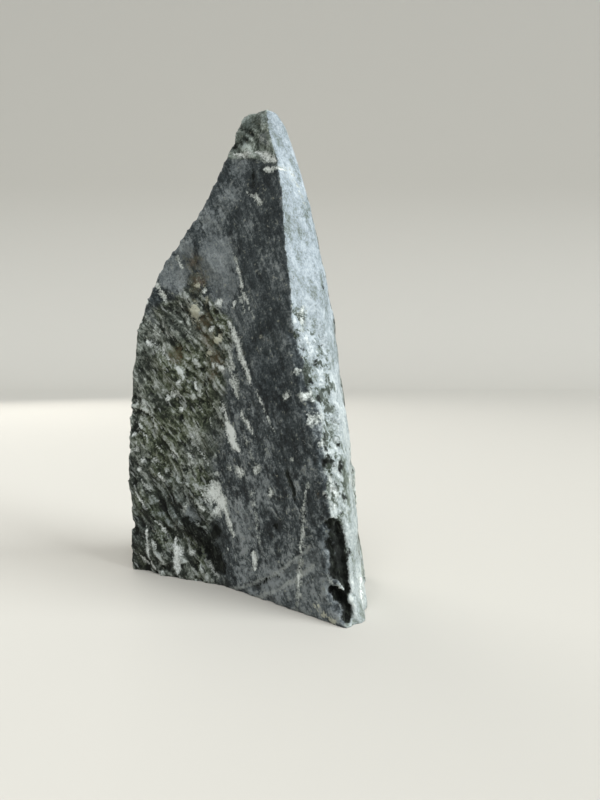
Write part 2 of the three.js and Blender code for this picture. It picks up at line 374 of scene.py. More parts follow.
# Marks on the front, placed by x and z.
TALC_VEINS = [
    # across the knob's foot and below it: talc streaks, partly a painted highlight on the tops of the knob's
    # ledges
    ((4, 190), (10, 185), 3.4, 0.5),
    ((-10.5, 184.8), (1.8, 182), 2.5, 1.0),
    ((2.6, 182.6), (15.4, 177), 2.9, 1.1),
    ((7.5, 175.6), (18, 172.2), 2.0, 1.1),
    ((-2, 168), (8.8, 160.2), 1.8, 0.85),
    # on the blue-grey rock above the broken schist
    ((-37.4, 145.5), (-34.2, 136.5), 1.8, 0.8),
    ((-47.8, 133), (-42.6, 122), 2.2, 0.9),
    # down the valley's right side
    ((-8.5, 143.5), (-1, 126), 1.5, 0.85),
    ((-3, 128), (6, 113.5), 1.7, 0.85),
    ((-4, 124), (1, 116), 1.6, 0.7),
    ((-8.8, 114), (6.5, 85), 3.5, 0.95),
    ((-9, 101), (-4, 91.5), 2.6, 0.85),
    ((-10, 97), (0, 82), 4.0, 0.62),
    ((-7, 88.5), (-1, 79.5), 2.8, 0.85),
    ((9.8, 84), (20, 67), 1.5, 0.85),
    ((-12.8, 79), (0, 58), 1.9, 1.1),
    ((-0.5, 75.5), (7.8, 65), 2.0, 0.8),
    ((-8.5, 70), (0.4, 56.5), 3.5, 1.6),
    ((2, 66), (9.5, 54), 2.0, 0.6),
    ((-16, 44), (-8, 31), 6.5, 0.8),
    ((-10, 37), (0, 22), 2.4, 1.1),
    # on the sawn face's lower half
    ((37.2, 52), (34, -22), 2.7, 0.66),
    ((9.2, 42), (14.8, 19), 2.6, 0.5),
    ((35.2, 21), (34.6, 8), 1.5, 0.95),
    ((10.2, 18.5), (13.2, 10.5), 2.6, 1.3),
    ((46.5, 17.8), (54.5, 12.6), 2.6, 0.55),
    # in the broken schist
    ((-48, 116), (-38, 105), 1.6, 0.6),
    ((-52, 108), (-40, 96), 1.6, 0.6),
    ((-30, 62), (-17, 50), 1.8, 0.55),
    ((-56, 44), (-44, 33), 1.8, 0.5),
    ((-48.4, 20.5), (-45, 6), 2.3, 1.0),
    ((-33.5, 17.5), (-28.3, 2.5), 3.5, 1.15),
    ((-17.5, 10), (-8.5, 3), 2.6, 0.8),
]
TALC_GRAINS = [
    # in the broken schist and along the valley
    ((-21.6, 126), 2.6, 1.0), ((-13.9, 121.4), 2.8, 1.0), ((-5.7, 119.6), 2.8, 1.0),
    ((-17.6, 110.2), 2.6, 0.95), ((-17.4, 93.7), 2.6, 1.1), ((-12, 93.2), 2.8, 1.1),
    ((-32.9, 86.6), 2.8, 0.9), ((-33, 74), 2.8, 1.0), ((-57, 62), 2.2, 1.1), ((-55.5, 55), 3.0, 0.7),
    ((-14, 55), 2.4, 0.6), ((-37, 53), 3.2, 0.75), ((-46, 50.5), 3.4, 0.8), ((-52, 50), 2.4, 0.8),
    ((-12, 47.5), 3.4, 0.7), ((-40, 46), 2.2, 0.7), ((-54, 45.5), 3.2, 0.95), ((-27, 44), 2.2, 0.6),
    ((-13.5, 38.5), 8.5, 1.3), ((-9, 35), 7, 1.2), ((-27.5, 31.5), 4.2, 0.65),
    ((-11.5, 31), 5.5, 1.0), ((-24, 24), 3.2, 0.55), ((-24, 12), 3.0, 0.9),
    # on the sawn face
    ((11, 101), 1.7, 0.7), ((5, 75), 2.0, 0.5), ((16, 60), 2.0, 0.5), ((30, 57), 1.9, 0.7),
    ((11.1, 51.3), 4.6, 0.8), ((-5, 50.5), 3.2, 0.7), ((1.6, 49.4), 4.4, 0.95),
    ((18.9, 42.2), 3.8, 0.95), ((9.7, 42), 3.6, 0.65), ((-1, 33), 2.2, 0.5), ((-4, 16), 2.2, 0.7),
    # beside the ridge
    ((30.4, 91), 3.5, 0.7), ((34.0, 82), 4.5, 0.85), ((25.9, 81.1), 3.8, 0.8),
    ((38.6, 73.5), 4.5, 0.8), ((43.2, 64), 3.0, 0.6), ((46, 46), 4.0, 0.6), ((50, 42), 3.0, 0.6),
]
CREAM_SPOTS = [
    # at the upper end of the broken schist
    ((-25, 129), 3.6, 0.8), ((-20.5, 122), 3.0, 0.8), ((-26.4, 117.1), 5.4, 1.35),
    ((-14.4, 105.3), 3.4, 1.15), ((-19.2, 99.8), 3.0, 1.2),
    # at the sawn face's lower corner
    ((44.5, 4.5), 2.4, 0.7), ((48, 2.5), 3.2, 0.85), ((52.5, 1), 3.0, 0.8),
]
RUST_SPOTS = [
    ((-29, 140), 9, 0.75), ((-25, 131), 9, 0.85), ((-28, 120), 7, 0.6), ((-22, 113), 9, 0.75),
    ((-19, 105), 9, 0.9), ((-36, 98), 7, 1.0), ((-16, 96), 8, 1.1), ((-17, 89), 6, 0.95),
    ((43, 46), 4, 0.5),
]
DARK_CRACKS = [
    ((1, 178), (3, 168), 3.2, 0.55), ((-4, 108), (6, 92), 1.6, 0.35), ((6, 84), (12, 70), 1.4, 0.4),
    ((22, 64.5), (29, 50), 1.6, 0.42), ((46.5, 62), (44, 55), 2.6, 0.8),
    ((26.5, 54), (32.2, 41), 2.6, 0.75), ((-28, 27), (-5, 5), 9.5, 0.85),
    ((26, 13), (38, 19), 2.4, 0.42), ((11, 3.5), (26, 11), 3.0, 0.5),
]
DARK_PITS = [
    # on the knob
    ((0, 192.5), 2.4, 0.45), ((-4, 190), 2.6, 0.4), ((-9, 187.8), 2.6, 0.6),
    # in the broken schist
    ((-21, 71), 3, 0.6), ((-32.5, 69.5), 3.2, 0.8), ((-12, 22), 7, 0.75), ((-20, 13), 6, 0.6),
    ((-10, 12), 6, 0.7),
    # on the sawn face
    ((4, 60), 2, 0.4), ((29.5, 51), 1.9, 0.4), ((31, 45.5), 2.4, 0.5), ((17, 35), 3.4, 0.5),
    ((23.4, 31.1), 3.4, 0.65), ((29, 29), 1.8, 0.6), ((20, 27), 2.2, 0.6),
]
# Hollows at the ridge's foot: dug into the shape, and coloured near-black as dark mineral with painted
# shadow.
HOLLOWS = [
    ((47.7, 38), (55.6, 13.6), 5.0, 1.35), ((51, 13.8), (59, 1.8), 4.0, 1.35),
    ((53.5, 20), (57, 8), 2.6, 1.2),
]
# The rock left of the hollows, which isn't pale although it lies on the ridge.
HOLLOW_SHORES = [((42.5, 42), (51, 10), 7.5, 1), ((47, 16), (55, 1), 6, 1)]
# Blue-grey patches on the front: partly the stone's own blue-grey, and partly a painted reflection of the sky
# on smoother rock.
BLUE_AND_SKY_SHEEN_PATCHES = [
    ((6.5, 187.5), 5.5, 0.75), ((-6, 178), 11, 0.75), ((-10, 168), 12, 0.7), ((-19, 156), 14, 0.8),
    ((2, 152), 12, 0.45), ((-33, 145), 10, 1.1), ((-16, 141), 17, 1.6), ((14, 138), 16, 0.4),
    ((-38, 135), 13, 1.6), ((-11, 128), 13, 1.5), ((-2, 70), 12, 0.6), ((14, 44), 16, 0.7),
    ((5, 28), 20, 0.85), ((-24, 28), 7, 1.0), ((-16, 12), 5, 0.8), ((22, 10), 14, 1.0),
    ((6, 8), 9, 0.9),
]
RIDGE_SHADE = [((14, 178), (27.5, 104), 4, 0.7), ((26, 112), (38, 72), 4, 1.0)]
SHADED_PATCHES = [
    # on the knob
    ((3.5, 197), 5, 1.2), ((6.8, 196), 4.5, 1.2), ((-2.5, 195.5), 6.5, 1.4), ((-4, 190), 6, 1.3),
    ((-9, 188), 5.5, 1.2),
    # on the sawn face
    ((17, 136), 9, 0.1), ((13, 112), 18, 0.8), ((4, 98), 10, 0.6), ((16, 90), 17, 1.6),
    ((24, 80), 14, 1.4), ((25, 66), 13, 0.8), ((15, 36), 5, 1.1), ((25.5, 28.5), 4, 1.0),
    ((17, 8), 7, 0.6),
    # beside the hollows
    ((47, 31), 7, 0.95), ((50, 14), 6, 0.85), ((53.5, 7.5), 5, 0.7),
    # in the broken schist
    ((-44, 76), 12, 0.35), ((-36, 29), 24, 1.4), ((-50, 20), 20, 1.3), ((-14, 17), 15, 0.8),
]

# Marks on the side, placed by y and z.
# A painted highlight: the side is lightened along its rim, where light grazes the outline.
PAINTED_RIM_HIGHLIGHTS = [
    ((-10, 181), (-2, 162), 7, 0.4), ((-13, 174.5), (-2, 171.5), 4.5, 1.2),
    ((-7, 144), (-6, 126), 8, 0.55), ((-1, 92), (3, 48), 12, 0.75), ((4, 58), (-6, 24), 12, 0.6),
    ((-4, 36), (-15, -3), 11, 0.4),
]
SIDE_VEINS = [
    ((-12, 174.2), (-2, 171.5), 4.0, 0.42), ((-4.5, 173), (0, 159), 2.4, 0.5),
    ((-12, 118), (-14, 106), 3.0, 0.6), ((-21, 84), (-17, 74), 3.5, 0.9),
    ((-22, 53), (-20, 45), 3, 0.8), ((-12, 14), (-16, 3), 4, 0.9),
]
SIDE_PITS = [
    ((0, 126), 2.4, 0.7), ((-15.5, 102), 3.0, 0.55), ((-5.5, 101), 2.8, 0.6), ((-13, 94), 3.2, 0.6),
    ((-17, 87), 2.8, 0.8), ((-14.6, 81), 3.4, 0.8), ((-10, 73), 2.6, 0.6), ((-17.8, 66.5), 3.2, 0.8),
    ((-20, 63), 5, 0.5), ((-12, 63), 2.4, 0.6), ((-19, 58.5), 5.0, 0.95), ((-15.5, 55), 4.5, 0.9),
    ((-19, 50), 5, 0.5), ((-16.5, 44.5), 3.4, 0.8), ((-19, 38), 5, 0.45), ((-20, 34), 4.0, 0.6),
    ((-20.5, 25), 4.0, 0.6), ((-19, 16), 3.0, 0.5),
]

# Random veins: on the broken schist and the back, placed by x and z, and on the left face,
# placed by y and z.
SCHIST_VEINS = scattered_veins(48, seed=3, across=(-60, -8), dip_degrees=46, length=9, half_width=1.3)
BACK_VEINS = scattered_veins(46, seed=5, across=(-60, 55), dip_degrees=44, length=15, half_width=2.2)
LEFT_VEINS = scattered_veins(20, seed=9, across=(-30, 25), dip_degrees=-33, length=11, half_width=1.8)

XZ = [0, 2]
YZ = [1, 2]
wobbly = warped(warped(cad_points, size=6, reach=0.9, layer=190), size=2.4, reach=0.6, layer=210)
by_x = wobbly[:, XZ]
by_y = wobbly[:, YZ]
by_rough_x = warped(wobbly, size=4.5, reach=1.7, layer=230)[:, XZ]
by_rough_y = warped(wobbly, size=3, reach=1.1, layer=270)[:, YZ]
stain = fractal_noise(cad_points, size=26, layer=240, octaves=3)
tint = fractal_noise(cad_points, size=30, layer=250, octaves=3)

talc = marks(by_x, TALC_VEINS, TALC_GRAINS) * facing_front
vein_fields = (
    (SIDE_VEINS, by_y, side),
    (BACK_VEINS, by_x, facing_back * (1 - by_side)),
    (LEFT_VEINS, by_y, facing_left),
    (SCHIST_VEINS, by_x, facing_front * rough),
)
for veins, places, face in vein_fields:
    talc = np.maximum(talc, marks(places, veins) * face)
cream = marks(by_x, blobs=CREAM_SPOTS) * facing_front
rust = marks(by_x, blobs=RUST_SPOTS) * facing_front
rust = np.maximum(rust, 0.7 * smoothstep(0.4, 1.2, stain) * hidden)
pit = marks(by_x, DARK_CRACKS, DARK_PITS) * facing_front
pit = np.maximum(pit, 0.78 * marks(by_rough_y, blobs=SIDE_PITS) * side)
# The blue-grey mask: on the front partly a painted sky reflection, on the hidden faces random tone.
blue = marks(by_x, blobs=BLUE_AND_SKY_SHEEN_PATCHES) * facing_front
blue = np.maximum(blue, 0.8 * smoothstep(0.3, 1.2, tint) * hidden)
# The painted rim highlight on the side.
rim = marks(by_y, PAINTED_RIM_HIGHLIGHTS) * side
shaded = marks(by_x, RIDGE_SHADE, SHADED_PATCHES) * facing_front
shaded = np.maximum(shaded, smoothstep(0.2, 0.8, -tint) * hidden)
busy = facing_front * smoothstep(150, 50, z + 10 * ragged + 0.6 * x)

hollow = marks(by_rough_x, HOLLOWS) * facing_front
hollow_lumps = fractal_noise(grain_points, size=4, layer=260, octaves=3)
hollow *= np.clip(0.95 + 0.8 * hollow_lumps, 0.6, 1.2)
shore = smoothstep(0, 0.4, marks(by_x, HOLLOW_SHORES)) * facing_front

# The side's colour blurs over the ridge where it is chipped, but not beside the hollows.
side_blurred = stone.relaxed(column(side), rounds=22)[:, 0]
side_colour = side + chip_height * (side_blurred - side)
side_colour *= 1 - shore

# The saw left pale arcs round one centre on the sawn face's foot, and a paler face below them.
SAW_CENTRE = (-37.9, 108.9)
SAW_ARCS = ((114.6, 2.1), (120.4, 2.3))  # radius and half width
SAW_FOOT = (SAW_ARCS[0][0] - 4, SAW_ARCS[0][0] + 3)  # radii between which the foot begins
saw_distance = np.linalg.norm(cad_points[:, XZ] - SAW_CENTRE, axis=1) + 0.7 * ragged
saw = np.zeros(len(x))
for radius, half_width in SAW_ARCS:
    saw = np.maximum(saw, 1 - smoothstep(0, half_width, np.abs(saw_distance - radius)))
saw *= sawn * right * facing_front * (1 - 0.6 * shore)
saw_foot = smoothstep(*SAW_FOOT, saw_distance) * sawn * right

# ---------------------------------------------------------------- the stone's final shape

hollow_floor = smoothstep(0, 1.1, hollow) * (1 + 0.35 * schist_relief)
relief -= PIT_DEPTH * pit + HOLLOW_DEPTH * hollow_floor + SAW_DEPTH * saw
# How far each point stands above its neighbours; the material paints crests lighter and hollows darker with
# it, as painted light and shade.
crest = relief - stone.relaxed(column(relief), CREST_ROUNDS)[:, 0]
relief += on_line(LEFT_SWELL, z) * smoothstep(0.1, 0.6, -broad_normals[:, 0])
stone.points += normals * column(relief * (1 - base))
stone.points[:, 0] -= KNOB_CORNER_SWELL * smoothstep(190, 197, z) * smoothstep(2, -6, x)

# The base stays flat, and the stone stays inside the CAD's box.
on_base = z < VOXEL
stone.points[on_base, 2] = np.minimum(stone.points[on_base, 2], z[on_base])
stone.points = np.clip(stone.points, LOW, HIGH)
stone.points[base > 0.5, 2] = LOW[2]
stone.update_mesh()

# ---------------------------------------------------------------- the stone's object

# What the material reads at each point of the surface.
attributes = {
    "sawn": sawn, "side": side_colour, "chipped": chipped, "knob": knob, "busy": busy,
    "rim": rim, "talc": talc, "cream": cream, "rust": rust, "blue": blue, "shaded": shaded,
    # dark: pits and cracks, and the hollows, whose near-black is partly painted shadow.
    "saw": saw, "saw_foot": saw_foot, "dark": np.maximum(pit, hollow * 1.4),
    "crest": np.clip(0.5 + crest / CREST_SPREAD, 0, 1),
}
for name, values in attributes.items():
    layer = stone.mesh.attributes.new(name, "FLOAT", "POINT")
    layer.data.foreach_set("value", values.astype(np.float32))

stone.mesh.name = "stone_surface"
stone.mesh.materials.clear()
stone.mesh.polygons.foreach_set("use_smooth", np.ones(len(stone.mesh.polygons), bool))
surface = bpy.data.objects.new("stone_surface", stone.mesh)
bpy.context.scene.collection.objects.link(surface)


# ---------------------------------------------------------------- making materials


class Nodes:
    """Short names for making a material's nodes."""

    def __init__(self, material):
        material.use_nodes = True
        self.tree = material.node_tree
        self.tree.nodes.clear()

    def make(self, kind, inputs=(), **settings):
        """A new node, with each input linked to a socket or set to a value."""
        node = self.tree.nodes.new(kind)
        for name, value in settings.items():
            setattr(node, name, value)
        for name, value in dict(inputs).items():
            if isinstance(value, bpy.types.NodeSocket):
                self.tree.links.new(value, node.inputs[name])
            else:
                node.inputs[name].default_value = value
        return node

    def math(self, operation, *values):
        return self.make("ShaderNodeMath", dict(enumerate(values)), operation=operation).outputs[0]

    def scaled(self, value, factor):
        return self.math("MULTIPLY", value, factor)

    def mask(self, name):
        """The surface's attribute of that name."""
        return self.make("ShaderNodeAttribute", attribute_name=name).outputs["Fac"]

    def ramp(self, value, low, high, to_low=0.0, to_high=1.0):
        """A smooth step of a value between two ends."""
        inputs = {"Value": value, "From Min": low, "From Max": high, "To Min": to_low, "To Max": to_high}
        return self.make("ShaderNodeMapRange", inputs, interpolation_type="SMOOTHSTEP").outputs[0]

    def tone(self, middle, *parts):
        """The middle, and each part's weight times how far its value lies from a half."""
        total = middle - 0.5 * sum(weight for _, weight in parts)
        for value, weight in parts:
            total = self.math("MULTIPLY_ADD", value, weight, total)
        return total

    def colours(self, value, stops):
        """The colour at a value, between stops that each have a place and a colour."""
        node = self.make("ShaderNodeValToRGB", {"Fac": value})
        elements = node.color_ramp.elements
        for _ in stops[2:]:
            elements.new(1)
        for element, (place, colour) in zip(elements, stops):
            element.position = place
            element.color = (*colour, 1)
        return node.outputs["Color"]

    def mix(self, share, first, second, blend="MIX"):
        """The first colour, with a share of the second blended in."""
        node = self.make("ShaderNodeMix", {"Factor": share}, data_type="RGBA", blend_type=blend)
        for socket, value in (("A", first), ("B", second)):
            target = next(s for s in node.inputs if s.name == socket and s.type == "RGBA")
            if isinstance(value, bpy.types.NodeSocket):
                self.tree.links.new(value, target)
            else:
                target.default_value = (*value, 1)
        return next(s for s in node.outputs if s.type == "RGBA")

    def tinted(self, colour, tint):
        return self.mix(1.0, colour, tint, blend="MULTIPLY")

    def noise(self, place, size, detail, roughness):
        inputs = {"Vector": place, "Scale": 1 / size, "Detail": detail, "Roughness": roughness}
        return self.make("ShaderNodeTexNoise", inputs).outputs["Fac"]

    def grains(self, place):
        """A random number for each grain, and how far each point lies from its grain's middle."""
        node = self.make("ShaderNodeTexVoronoi", {"Vector": place, "Scale": 1.0})
        parts = self.make("ShaderNodeSeparateColor", {"Color": node.outputs["Color"]})
        return parts.outputs["Red"], node.outputs["Distance"]

    def dot(self, place, direction):
        inputs = {0: place, 1: direction}
        return self.make("ShaderNodeVectorMath", inputs, operation="DOT_PRODUCT").outputs["Value"]

    def stretched(self, place, dip_degrees, along, across):
        """The place in axes that dip to the right, squeezed so that grain of size 1 made
        from it has the given sizes along and across the dip."""
        dip = math.radians(dip_degrees)
        run = (math.cos(dip) / along, 0, -math.sin(dip) / along)
        over = (math.sin(dip) / across, 0, math.cos(dip) / across)
        depth = (0, 1 / across, 0)
        parts = [self.dot(place, direction) for direction in (run, depth, over)]
        return self.make("ShaderNodeCombineXYZ", dict(enumerate(parts))).outputs[0]

    def streaks(self, place, dip_degrees, along, across, detail, roughness):
        """Noise that runs along a dip."""
        drawn_out = self.stretched(place, dip_degrees, along, across)
        return self.noise(drawn_out, size=1, detail=detail, roughness=roughness)

    def warped(self, place, size, reach):
        """The place, pushed about by noise, so that grain made from it isn't straight."""
        inputs = {"Vector": place, "Scale": 1 / size, "Detail": 3}
        noise = self.make("ShaderNodeTexNoise", inputs).outputs["Color"]
        inputs = {0: noise, 1: (reach,) * 3, 2: place}
        return self.make("ShaderNodeVectorMath", inputs, operation="MULTIPLY_ADD").outputs[0]


# ---------------------------------------------------------------- the stone's material

# Colours from dark to light, each at its place on a tone from 0 to 1.
SCHIST = [(0.12, (0.011, 0.014, 0.011)), (0.36, (0.042, 0.05, 0.041)), (0.52, (0.115, 0.13, 0.11)),
          (0.7, (0.24, 0.265, 0.235)), (0.92, (0.55, 0.59, 0.56))]
SAWN = [(0.15, (0.016, 0.02, 0.022)), (0.42, (0.042, 0.052, 0.055)), (0.6, (0.092, 0.108, 0.112)),
        (0.88, (0.26, 0.285, 0.285))]
# The side's pale blue-grey is partly its own colour and partly a painted reflection of the sky.
SIDE = [(0.08, (0.03, 0.04, 0.032)), (0.3, (0.108, 0.132, 0.118)), (0.5, (0.222, 0.26, 0.282)),
        (0.76, (0.37, 0.415, 0.44)), (0.95, (0.55, 0.595, 0.6))]
# The blue-grey patches' colours, which also serve as painted sky reflection.
BLUE_GREY = [(0.2, (0.09, 0.103, 0.107)), (0.45, (0.185, 0.21, 0.215)), (0.75, (0.31, 0.34, 0.345))]

PALE_GRAIN = (0.4, 0.43, 0.41)
SAW_GREY = (0.2, 0.225, 0.23)
TALC = (0.76, 0.8, 0.77)
TALC_GREY = (0.2, 0.22, 0.2)
CREAM = (0.52, 0.52, 0.41)
RUST = (0.12, 0.075, 0.036)
OLIVE = (0.06, 0.066, 0.036)
NEAR_BLACK = (0.004, 0.005, 0.004)
DEEP_GREEN = (0.009, 0.012, 0.008)
HOLLOW_GREY = (0.03, 0.035, 0.028)

OLIVE_TINT = (0.97, 1.0, 0.74)
KNOB_TINT = (0.96, 1.0, 0.98)
LOW_SIDE_TINT = (1.04, 1.0, 0.9)
SHADE_TINT = (0.45, 0.48, 0.5)

UP = (0, 0, 1)
BUMP_STRENGTH = 0.7
BUMP_DEPTH = 0.45
SPECULAR_LEVEL = 0.18


def rock_textures(nodes):
    """The places and textures that all kinds of rock share, with sizes in millimetres."""
    place = nodes.make("ShaderNodeTexCoord").outputs["Object"]
    place = nodes.make("ShaderNodeVectorMath", {0: place, "Scale": 1 / MM}, operation="SCALE").outputs[0]
    bent = nodes.warped(nodes.warped(place, size=9, reach=3.0), size=1.6, reach=1.1)
    return types.SimpleNamespace(
        place=place,
        bent=bent,
        speckle=nodes.noise(place, size=0.8, detail=2, roughness=0.6),
        grit=nodes.noise(place, size=2.2, detail=4, roughness=0.7),
        cloud=nodes.noise(place, size=17, detail=3, roughness=0.6),
        clump=nodes.noise(bent, size=3.2, detail=5, roughness=0.75),
        large=nodes.grains(nodes.stretched(bent, dip_degrees=44, along=6, across=1.9))[0],
        small=nodes.grains(nodes.stretched(bent, dip_degrees=41, along=1.9, across=0.95))[0],
        streak=nodes.streaks(bent, dip_degrees=62, along=11, across=1.3, detail=4, roughness=0.7),
        rush=nodes.streaks(bent, dip_degrees=56, along=5.5, across=2.2, detail=5, roughness=0.75),
        # crests lighter and hollows darker: painted light and shade
        crest=nodes.mask("crest"),
    )


def schist_colour(nodes, rock):
    """Grey-green schist, with olive patches and with pale and dark dashes: the pale dashes are painted
    highlights on the tops of small ledges, the dark ones painted shadow under them. Its tone is lighter on
    crests and darker in hollows, as painted light and shade.
    """
    bedding = nodes.streaks(rock.bent, dip_degrees=45, along=24, across=1.9, detail=3, roughness=0.6)
    tone = nodes.tone(0.468, (rock.large, 0.19), (rock.small, 0.22), (rock.clump, 1.1), (bedding, 1.0),
                      (rock.speckle, 0.45), (rock.cloud, 0.75), (rock.crest, 0.95))
    colour = nodes.colours(tone, SCHIST)
    olive = nodes.ramp(nodes.noise(rock.place, size=24, detail=2, roughness=0.5), 0.42, 0.62)
    olive = nodes.math("MULTIPLY", olive, nodes.ramp(tone, 0.75, 0.45))
    colour = nodes.mix(olive, colour, nodes.tinted(colour, OLIVE_TINT))
    # Pale dashes are painted highlights on the tops of small ledges, dark dashes painted shadow under them.
    dash, away = nodes.grains(nodes.stretched(rock.bent, dip_degrees=46, along=5.5, across=1.1))
    pale = nodes.math("MULTIPLY", nodes.ramp(dash, 0.8, 0.86), nodes.ramp(away, 0.62, 0.3))
    colour = nodes.mix(nodes.scaled(pale, 0.6), colour, PALE_GRAIN)
    dark = nodes.math("MULTIPLY", nodes.ramp(dash, 0.2, 0.13), nodes.ramp(away, 0.6, 0.3))
    return nodes.mix(nodes.scaled(dark, 0.75), colour, NEAR_BLACK)


def knob_colour(nodes, rock):
    """The broken rock of the knob at the tip."""
    tone = nodes.tone(0.61, (rock.clump, 1.2), (rock.speckle, 0.6), (rock.cloud, 0.5), (rock.crest, 0.9))
    return nodes.tinted(nodes.colours(tone, SCHIST), KNOB_TINT)


def sawn_rock_tone(nodes, rock):
    """The tone of the sawn rock, which is busier lower down and paler at its foot."""
    band = nodes.streaks(rock.bent, dip_degrees=62, along=45, across=4.5, detail=2, roughness=0.5)
    tone = nodes.tone(0.49, (rock.streak, 0.8), (band, 0.55), (rock.speckle, 0.7), (rock.grit, 0.9),
                      (rock.cloud, 1.2), (rock.crest, 0.35))
    busy_tone = nodes.tone(-0.02, (rock.rush, 1.7), (rock.small, 0.16), (rock.clump, 1.7))
    tone = nodes.math("MULTIPLY_ADD", busy_tone, nodes.mask("busy"), tone)
    foot_tone = nodes.tone(0.08, (rock.clump, 0.8), (rock.grit, 0.6))
    return nodes.math("MULTIPLY_ADD", nodes.mask("saw_foot"), foot_tone, tone)


def sawn_colour(nodes, rock, tone):
    """Sawn rock, with pale flecks where it is busy."""
    fleck = nodes.ramp(nodes.noise(rock.bent, size=1.3, detail=2, roughness=0.7), 0.66, 0.74)
    fleck = nodes.math("MULTIPLY", fleck, nodes.ramp(nodes.mask("busy"), -0.2, 0.9))
    return nodes.mix(nodes.scaled(fleck, 0.55), nodes.colours(tone, SAWN), PALE_GRAIN)


def side_rock_colour(nodes, rock):
    """The pale side: blue-grey above and warmer below, with dark and white chips. Its pale blue-grey is
    partly its own colour and partly a painted reflection of the sky, and it is lightened along the rim as a
    painted highlight.
    """
    blotch = nodes.streaks(rock.bent, dip_degrees=75, along=9, across=4, detail=4, roughness=0.7)
    tone = nodes.tone(0.52, (rock.speckle, 0.55), (rock.grit, 0.7), (blotch, 0.85), (rock.cloud, 0.65),
                      (rock.crest, 0.3))
    lumps = nodes.noise(rock.bent, size=6, detail=5, roughness=0.72)
    chips = nodes.tone(0.5, (rock.large, 0.25), (lumps, 2.6), (rock.small, 0.3))
    chipped = nodes.mask("chipped")
    dark_chips = nodes.math("MULTIPLY", chipped, nodes.ramp(chips, 0.45, 0.8))
    tone = nodes.math("SUBTRACT", tone, nodes.scaled(dark_chips, 0.6))
    # The painted rim highlight lightens the side's tone.
    tone = nodes.math("MULTIPLY_ADD", nodes.mask("rim"), 0.2, tone)
    colour = nodes.colours(tone, SIDE)
    lowness = nodes.ramp(nodes.dot(rock.place, UP), 150, 30)
    colour = nodes.mix(lowness, colour, nodes.tinted(colour, LOW_SIDE_TINT))
    pale_chips = nodes.math("MULTIPLY", chipped, nodes.ramp(chips, 0.3, 0.0))
    return nodes.mix(nodes.scaled(pale_chips, 0.42), colour, TALC)


def with_patches(nodes, rock, colour, sawn_tone):
    """The colour, with blue-grey patches that are partly a painted reflection of the sky, with shaded
    patches, and what the saw left.
    """
    blue = nodes.tone(0.5, (nodes.mask("blue"), 1.0), (rock.grit, 1.3), (rock.streak, 1.0), (rock.small, 0.2))
    blue = nodes.scaled(nodes.ramp(blue, 0.25, 0.75), 0.7)
    colour = nodes.mix(blue, colour, nodes.colours(sawn_tone, BLUE_GREY))
    shaded = nodes.scaled(nodes.mask("shaded"), 0.75)
    colour = nodes.mix(shaded, colour, nodes.tinted(colour, SHADE_TINT))
    foot = nodes.tone(0.5, (nodes.mask("saw_foot"), 0.8), (rock.rush, 1.8), (rock.clump, 1.6))
    colour = nodes.mix(nodes.scaled(nodes.ramp(foot, 0.3, 1.0), 0.3), colour, SAW_GREY)
    arcs = nodes.tone(0.42, (nodes.mask("saw"), 1.0), (rock.grit, 1.1), (rock.clump, 1.2),
                      (rock.speckle, 0.5))
    return nodes.mix(nodes.scaled(nodes.ramp(arcs, 0.32, 1.0), 0.6), colour, PALE_GRAIN)


def with_stains(nodes, rock, colour):
    """The colour, with rusty and cream spots."""
    frayed = nodes.tone(0.0, (rock.speckle, 1.0), (rock.grit, 1.8), (rock.small, 0.5))
    rust = nodes.ramp(nodes.math("ADD", nodes.mask("rust"), frayed), 0.2, 0.9)
    colour = nodes.mix(nodes.scaled(rust, 0.68), colour, nodes.mix(rock.small, RUST, OLIVE))
    cream = nodes.ramp(nodes.math("ADD", nodes.mask("cream"), frayed), 0.3, 0.9)
    return nodes.mix(nodes.scaled(cream, 0.85), colour, CREAM)


def with_side(nodes, rock, colour):
    """The colour, with the side's on the side. Their border is ragged where the mask blurs."""
    mask = nodes.mask("side")
    doubt = nodes.math("MULTIPLY", mask, nodes.math("SUBTRACT", 1.0, mask))
    ragged_border = nodes.tone(0.0, (rock.clump, 9.0), (rock.grit, 3.0))
    share = nodes.math("MULTIPLY_ADD", doubt, ragged_border, mask)
    return nodes.mix(nodes.ramp(share, 0.3, 0.7), colour, side_rock_colour(nodes, rock))


def with_talc(nodes, rock, colour):
    """The colour, with talc veins and grains, which are whitest where their mask is strong."""
    mask = nodes.mask("talc")
    frayed = nodes.tone(0.0, (rock.speckle, 1.0), (rock.grit, 1.8), (rock.clump, 1.4))
    share = nodes.ramp(nodes.math("ADD", mask, frayed), 0.3, 0.62)
    whiteness = nodes.tone(0.5, (mask, 0.8), (rock.speckle, 1.3), (rock.streak, 0.9), (rock.clump, 1.0))
    return nodes.mix(share, colour, nodes.mix(nodes.ramp(whiteness, 0.32, 1.1), TALC_GREY, TALC))


def dark_rock(nodes, rock):
    """How far the rock is a dark pit, crack or hollow, and that rock's colour. In the hollows the near-black
    is dark mineral and painted shadow.
    """
    frayed = nodes.tone(0.0, (rock.speckle, 0.6), (rock.grit, 1.1), (rock.clump, 1.6))
    share = nodes.ramp(nodes.math("ADD", nodes.mask("dark"), frayed), 0.25, 0.65)
    colour = nodes.mix(nodes.ramp(rock.clump, 0.5, 0.75), NEAR_BLACK, DEEP_GREEN)
    return share, nodes.mix(nodes.ramp(rock.streak, 0.5, 0.66), colour, HOLLOW_GREY)


